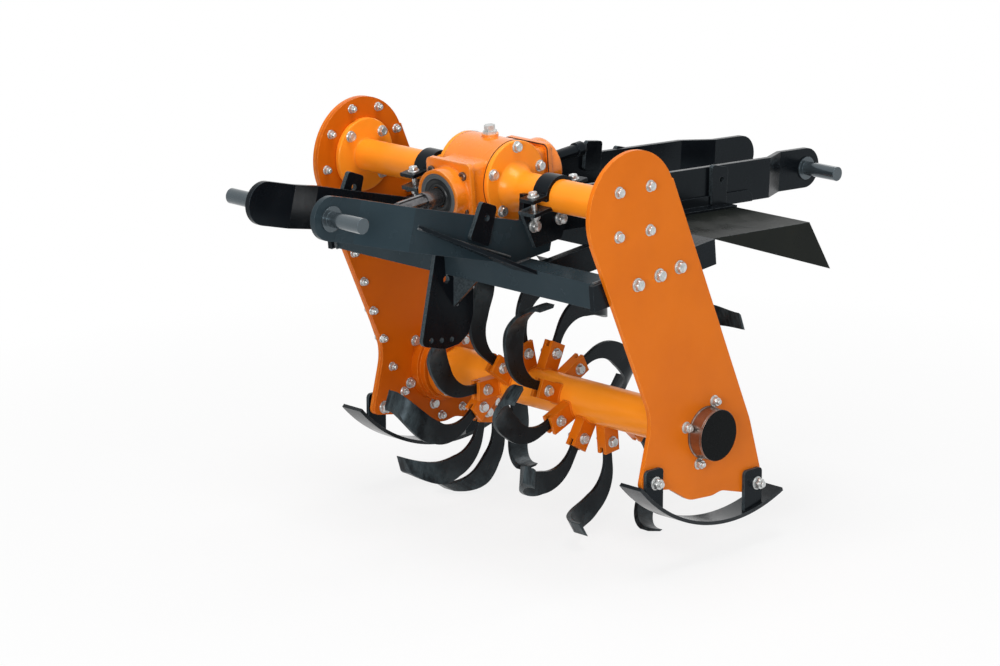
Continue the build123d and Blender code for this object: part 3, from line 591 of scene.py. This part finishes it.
def bead(path, radius, pitch=4.5, closed=False):
    # A string of weld along a path. At length s along it the bead's radius is
    # radius · (1 + ripple · |sin(pi · s / pitch)| + a slow random swell). Lengths in millimetres.
    path = np.asarray(path, float)
    ahead = np.roll(path, -1, 0) if closed else np.concatenate([path[1:], path[-1:]])
    behind = np.roll(path, 1, 0) if closed else np.concatenate([path[:1], path[:-1]])
    tangent = ahead - behind
    tangent /= np.linalg.norm(tangent, axis=1, keepdims=True)
    across = np.cross(tangent, beadLook["aside"])
    across /= np.linalg.norm(across, axis=1, keepdims=True)
    upwards = np.cross(tangent, across)
    s = np.concatenate([[0], np.cumsum(np.linalg.norm(np.diff(path, axis=0), axis=1))])
    count, most = beadLook["swells"], beadLook["swell"]
    swell = np.interp(s, np.linspace(0, s[-1] + 1e-9, count), rng.uniform(-most, most, count))
    r = radius * (1 + beadLook["ripple"] * np.abs(np.sin(np.pi * s / pitch)) + swell)
    if not closed:
        r[0] = r[-1] = beadLook["tip"]
    a = np.arange(beadLook["around"]) * 2 * np.pi / beadLook["around"]
    points = path[:, None] + r[:, None, None] * (np.cos(a)[None, :, None] * across[:, None]
                                                 + np.sin(a)[None, :, None] * upwards[:, None])
    return points.reshape(-1, 3), gridQuads(len(path), len(a), closed, True)


def straight(start, end):
    # Evenly spaced points from start to end: start · (1 − t) + end · t.
    count = max(6, int(np.linalg.norm(np.subtract(end, start)) / beadLook["step"]))
    t = np.linspace(0, 1, count)[:, None]
    return np.asarray(start, float) * (1 - t) + np.asarray(end, float) * t


lowerFrame = {"pitch": 6, "y": -67, "z": -163, "half": 27.5}


def framePoint(x, alongFrame, up):
    # Point of the lower frame in its own pitch, from the centre of the front cross member, turned as
    # atBox turns the gearbox.
    a = np.radians(lowerFrame["pitch"])
    return (x, lowerFrame["y"] + alongFrame * np.cos(a) - up * np.sin(a),
            lowerFrame["z"] + alongFrame * np.sin(a) + up * np.cos(a))


holderLook = {"halfX": 13.0, "halfW": 21.5, "lead": 2, "square": 0.35, "tube": 45, "beadAt": 45.2,
              "bead": 2.4, "pitch": 5}


def holderBeads(look):
    # Each holder's foot is welded round, on a rounded rectangle laid on the tube: at angle t,
    # x = halfX · |cos t|^square and w = halfW · |sin t|^square, each with its own sign.
    t = np.arange(72) * 2 * np.pi / 72
    x = look["halfX"] * np.sign(np.cos(t)) * np.abs(np.cos(t)) ** look["square"]
    w = look["halfW"] * np.sign(np.sin(t)) * np.abs(np.sin(t)) ** look["square"] + look["lead"]
    shapes = []
    for centre, phase in zip(tineX, tinePhase):
        turn = phase + np.arcsin(w / look["tube"])
        path = np.stack([centre + x, look["beadAt"] * np.cos(turn), look["beadAt"] * np.sin(turn)], -1)
        shapes.append(bead(path, look["bead"], look["pitch"], True))
    return shapes


points, quads = together(holderBeads(holderLook))
addPiece("holder_welds", atRotor(points), quads, orangePaint, "rotor", "orange_paint")

weldLook = {
    "endPlate": 12.5, "ends": 3.4, "armSides": (139, 151), "arm": 3, "brace": 2.2,
    "braceFrom": (151.5, -365, -17), "braceTo": (151.5, -100, -120), "plateX": -50, "plateSet": -2,
    "plateDeep": 78, "gussetX": 34, "gussetUnder": 0.5, "gusset": 3.4, "plate": 3.2}
half = lowerFrame["half"]
frontWelds = []
for x in (plateInner - weldLook["endPlate"], coverFace + weldLook["endPlate"]):
    corners = [framePoint(x, -half, half), framePoint(x, -half, -half), framePoint(x, half, -half),
               framePoint(x, half, half)]
    for k in range(4):
        frontWelds.append(bead(straight(corners[k], corners[(k + 1) % 4]), weldLook["ends"]))
for side in (-1, 1):
    for x in weldLook["armSides"]:
        line = straight(framePoint(side * x, -half, half), framePoint(side * x, half, half))
        frontWelds.append(bead(line, weldLook["arm"]))
    line = straight(*(np.array(weldLook[end]) * (side, 1, 1) for end in ("braceFrom", "braceTo")))
    frontWelds.append(bead(line, weldLook["brace"]))
plateX, plateSet, low = weldLook["plateX"], weldLook["plateSet"], -half - weldLook["plateDeep"]
under = -half - weldLook["gussetUnder"]
for start, end, radius in (
        ((plateX, plateSet, -half), (plateX, plateSet, low), "plate"),
        ((plateX, 0, under), (weldLook["gussetX"], 0, under), "gusset"),
        ((plateX, -half, -half), (plateX, half, -half), "plate")):
    frontWelds.append(bead(straight(framePoint(*start), framePoint(*end)), weldLook[radius]))
points, quads = together(frontWelds)
addPiece("frame_welds", atTube(points), quads, weldSkin, "chassis", "black_paint")
print("welds made")


# gearbox dress
def sealBands():
    # Bearing seal in the front housing: stepped rings about the input shaft, open in the middle.
    lip = [(21.2, 0, 0), (21.2, 0, 4.5), (23.5, 0, 5.2), (25, 0, 5.2), (27, 0, 3.4), (33, 0, 3.4),
           (35, 0, 4.6), (38.5, 0, 4.6), (39.3, 0, 2.6), (39.3, 0, 0), (21.2, 0, 0)]
    race = [(39.5, 0, 0), (39.5, 0, 5), (40.3, 0, 5.6), (44, 0, 5.6), (44.5, 0, 5), (45, 0, 5),
            (45.5, 0, 5.6), (49, 0, 5.6), (49.7, 0, 5), (49.7, 0, 0), (39.5, 0, 0)]
    return turned(lip, 72), turned(race, 72)


sealLook = {"face": -156.2, "up": 7}
boxForward = (0, -np.cos(boxPitch), -np.sin(boxPitch))
sealAt = atBox([(0, sealLook["face"], sealLook["up"])])
for name, band, finish in zip(("bearing_seal", "bearing_race"), sealBands(), (sealBlack, sealGrey)):
    addPiece(name, *copies(band, sealAt, boxForward, 0), finish, "chassis", "black_paint")

screwLook = {
    "front": [(-48, 50), (44, 50), (-48, -26), (44, -26)], "frontFace": -127,
    "rear": [(-50, -50), (-50, 50), (50, -50), (50, 50)], "rearFace": 115}
socketRows = [(0, 0, -0.4), (9.5, 0, -0.4), (9.5, 0, 5), (8.6, 0, 6), (6.2, 0, 6), (4.4, 1, 5.6),
              (4.4, 1, 1.5), (0, 0, 1)]
frontAt = atBox([(x, screwLook["frontFace"], z) for x, z in screwLook["front"]])
rearAt = atBox([(x, screwLook["rearFace"], z) for x, z in screwLook["rear"]])
screws = copies(turned(socketRows, 24), frontAt, boxForward)
rearScrews = copies(turned(socketRows, 24), rearAt, -np.array(boxForward))
addPiece("gearbox_screws", *together([screws, rearScrews]), darkSteel, "chassis", "black_paint")


seamLook = {
    "half": 0.7, "ringProud": 0.35, "padProud": 0.4, "sunk": 2, "ringRadius": 84.8,
    "frontPad": {"y": -115, "wide": 128, "high": 128, "up": boxUp, "corner": 12},
    "rearPad": {"y": 103, "wide": 127, "high": 128, "up": 0, "corner": 12}}


def ringSeam(x, look):
    # A thin gasket line round a side face: a square band that stands a little proud of the joint.
    inner, outer = look["ringRadius"] - look["sunk"], look["ringRadius"] + look["ringProud"]
    rows = [(inner, 0, -look["half"]), (outer, 0, -look["half"]), (outer, 0, look["half"]),
            (inner, 0, look["half"]), (inner, 0, -look["half"])]
    return copies(turned(rows, 96), atTube([(x, 0, boxUp)]), (1, 0, 0), 0)


def padSeam(pad, look):
    # Gasket line round a square pad: a rounded rectangle carried round as a thin square band. At turn t
    # x = ±(wide / 2 - corner) + corner · cos t and z = ±(high / 2 - corner) + corner · sin t + up.
    t = np.linspace(0, 2 * np.pi, 97)[:-1]
    x = np.sign(np.cos(t)) * (pad["wide"] / 2 - pad["corner"]) + pad["corner"] * np.cos(t)
    z = np.sign(np.sin(t)) * (pad["high"] / 2 - pad["corner"]) + pad["corner"] * np.sin(t) + pad["up"]
    outline = np.stack([x, np.full(len(t), float(pad["y"])), z], -1)
    grow = np.stack([np.cos(t), 0 * t, np.sin(t)], -1)
    corners = ((-look["sunk"], -look["half"]), (look["padProud"], -look["half"]),
               (look["padProud"], look["half"]), (-look["sunk"], look["half"]))
    ring = np.stack([outline + out * grow + [0, along, 0] for out, along in corners], 1)
    return atBox(ring.reshape(-1, 3)), gridQuads(len(t), 4, True, True)


seams = [ringSeam(boxFaces["right"], seamLook), ringSeam(boxFaces["left"], seamLook),
         padSeam(seamLook["frontPad"], seamLook), padSeam(seamLook["rearPad"], seamLook)]
addPiece("gearbox_gaskets", *together(seams), gasketBlack, "chassis", "black_paint")

capLook = {"radius": 54.8, "seat": 54.6, "bevel": 1.4, "proud": 1.6, "middle": 30, "crown": 0.25, "sunk": 0.5}


def capRows(look):
    # Profile of the hub's end cap: bevelled rim and a face that rises a little to its middle.
    rim, top, crown = look["radius"], look["proud"], look["proud"] + look["crown"]
    return [(0, 0, -look["sunk"]), (look["seat"], 0, -look["sunk"]), (rim, 0, 0),
            (rim, 0, top - look["bevel"]), (rim - look["bevel"], 0, top), (look["middle"], 0, crown),
            (0, 0, crown)]


ringLook = {"radius": 55, "core": 30, "foot": 57, "footDeep": 2.5, "fillet": 0.6, "groove": 0.7, "lip": 0.8,
            "grooveAt": (5, 4.6, 3.6, 3.2)}               # the groove's four corners, back from the face


def ringRows(deep, look):
    # Profile of the turned bearing ring: foot against the plate, barrel, shallow groove and bevelled lip.
    rim, core = look["radius"], look["core"]
    start, floor, floorEnd, end = (deep - back for back in look["grooveAt"])
    return [(core, 0, 0), (look["foot"], 0, 0), (look["foot"], 0, look["footDeep"]),
            (rim, 0, look["footDeep"] + look["fillet"]), (rim, 0, start), (rim - look["groove"], 0, floor),
            (rim - look["groove"], 0, floorEnd), (rim, 0, end), (rim, 0, deep - look["lip"]),
            (rim - look["lip"], 0, deep), (core, 0, deep), (core, 0, 0)]


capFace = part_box("bearing_housing_right")[1].x / mm
ring = turned(ringRows(capFace - plateFace, ringLook), 128)
hubRing = addPiece("hub_ring", *copies(ring, atRotor([(plateFace, 0, 0)]), (1, 0, 0), 0), ringSteel,
                   "chassis", "turned_steel")
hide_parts("bearing_housing_right")
cap = turned(capRows(capLook), 96)
addPiece("hub_end_cap", *copies(cap, atRotor([(capFace, 0, 0)]), (1, 0, 0), 0), capBlack,
         "chassis", "black_paint")
print("gearbox and hub dressed")


# stage, camera and light
floorLook = {
    "half": 30, "dark": (0.80, 0.80, 0.80, 1), "light": (0.83, 0.83, 0.83, 1), "centre": (0.1, 0.75),
    "near": 0.5, "far": 2.2, "nearWhite": 0.82, "sunk": 0.0005}


def stageFloor(height, look):
    # Pale ground that keeps the shadow and fades to white far off: the share of white rises from
    # nearWhite at the distance near to 1 at the distance far, to the camera and in gloss only.
    t = np.linspace(-1, 1, 9)
    x, y = np.meshgrid(t * look["half"], t * look["half"], indexing="ij")
    points = np.stack([x, y, np.full(x.shape, height)], -1).reshape(-1, 3)
    mesh = bpy.data.meshes.new("stage_floor")
    mesh.from_pydata(points.tolist(), [], gridQuads(9, 9).tolist())
    floor = bpy.data.objects.new("stage_floor", mesh)
    bpy.context.scene.collection.objects.link(floor)
    material, shader, add, link = newMaterial("paleFloor")
    shader.inputs["Roughness"].default_value = 0.9
    shader.inputs["Specular IOR Level"].default_value = 0.1
    shade = ranged(add, noise(add, 1.2, 3), 0.3, 0.7, 0, 1)
    link(blendColour(add, shade, look["dark"], look["light"]), shader.inputs["Base Color"])
    glow = add("ShaderNodeEmission", {"Color": (1, 1, 1, 1), "Strength": 1.0})
    place = add("ShaderNodeTexCoord").outputs["Object"]
    away = add("ShaderNodeVectorMath", {0: place, 1: (*look["centre"], height)},
               operation="DISTANCE").outputs["Value"]
    path = add("ShaderNodeLightPath").outputs
    seen = add("ShaderNodeMath", {0: path["Is Camera Ray"], 1: path["Is Glossy Ray"]}, operation="MAXIMUM")
    fade = ranged(add, away, look["near"], look["far"], look["nearWhite"], 1.0)
    share = times(add, seen.outputs[0], fade)
    mixed = add("ShaderNodeMixShader", {0: share, 1: shader.outputs[0], 2: glow.outputs[0]})
    link(mixed.outputs[0], material.node_tree.nodes["Material Output"].inputs["Surface"])
    mesh.materials.append(material)


def softbox(name, place, aim, size, power):
    lamp = bpy.data.lights.new(name, "AREA")
    lamp.shape = "RECTANGLE"
    lamp.size, lamp.size_y = size
    lamp.energy = power
    holder = bpy.data.objects.new(name, lamp)
    bpy.context.scene.collection.objects.link(holder)
    place, aim = np.array(place, float), np.array(aim, float)
    back = (place - aim) / np.linalg.norm(place - aim)
    right = np.cross([0, 0, 1] if abs(back[2]) < 0.95 else [0, 1, 0], back)
    right /= np.linalg.norm(right)
    turn = np.stack([right, np.cross(back, right), back], 1)
    holder.matrix_world = Matrix.Translation(place.tolist()) @ Matrix(turn.tolist()).to_4x4()


def worldLight(look):
    # White to the camera and in gloss, and a quieter grey as the light that fills the shadows.
    world = bpy.data.worlds.new("studio")
    world.use_nodes = True
    bpy.context.scene.world = world
    tree = world.node_tree
    path = tree.nodes.new("ShaderNodeLightPath")
    either = tree.nodes.new("ShaderNodeMath")
    either.operation = "MAXIMUM"
    tree.links.new(path.outputs["Is Camera Ray"], either.inputs[0])
    tree.links.new(path.outputs["Is Transmission Ray"], either.inputs[1])
    orGloss = tree.nodes.new("ShaderNodeMath")
    orGloss.operation = "MAXIMUM"
    tree.links.new(either.outputs[0], orGloss.inputs[0])
    tree.links.new(path.outputs["Is Glossy Ray"], orGloss.inputs[1])
    level = tree.nodes.new("ShaderNodeMapRange")
    tree.links.new(orGloss.outputs[0], level.inputs[0])
    level.inputs[3].default_value = look["fill"]
    level.inputs[4].default_value = 1.0
    back = tree.nodes["Background"]
    back.inputs[0].default_value = (1, 1, 1, 1)
    tree.links.new(level.outputs[0], back.inputs[1])


middle = tubeAxis + np.array([0, 0.1, -0.2])
lights = {                                                # where each stands, its two sides and its watts
    "overhead": ((0.2, 0.3, 2.4), (1.6, 1.4), 56),
    "rightKey": ((3.1, 0.2, 0.9), (1.5, 1.4), 20),
    "frontKey": ((2.0, -2.6, 0.55), (1.2, 1.2), 74),
    "rearRim": ((-1.0, 3.2, 1.6), (1.2, 1.0), 12)}
stageFloor(tineFloor - floorLook["sunk"], floorLook)
worldLight({"fill": 0.30})
for name, (place, size, power) in lights.items():
    softbox(name, place, middle, size, power)

camera = {
    "turn": 45.1, "down": 14.65, "distance": 7.56, "lens": 129.6, "aimX": -0.0055, "aimY": 0.3171,
    "target": (0, 0.012, -0.003)}                         # from the cross tube; seen above the view's middle
turn, down = np.radians(camera["turn"]), np.radians(camera["down"])
right = np.array([np.cos(turn), np.sin(turn), 0])
ahead = np.array([-np.sin(turn) * np.cos(down), np.cos(turn) * np.cos(down), -np.sin(down)])
top = np.cross(right, ahead)
target = tubeAxis + np.array(camera["target"])
eye = target - ahead * camera["distance"] - right * camera["aimX"] - top * camera["aimY"]
lens = bpy.data.cameras.new("camera")
lens.lens = camera["lens"]
lens.sensor_width = 36
lens.clip_end = 100
cameraObject = bpy.data.objects.new("camera", lens)
bpy.context.scene.collection.objects.link(cameraObject)
cameraTurn = Matrix(np.stack([right, top, -ahead], 1).tolist()).to_4x4()
cameraObject.matrix_world = Matrix.Translation(eye.tolist()) @ cameraTurn
bpy.context.scene.camera = cameraObject
bpy.context.scene.view_settings.view_transform = "Standard"
print("stage, camera and light set")
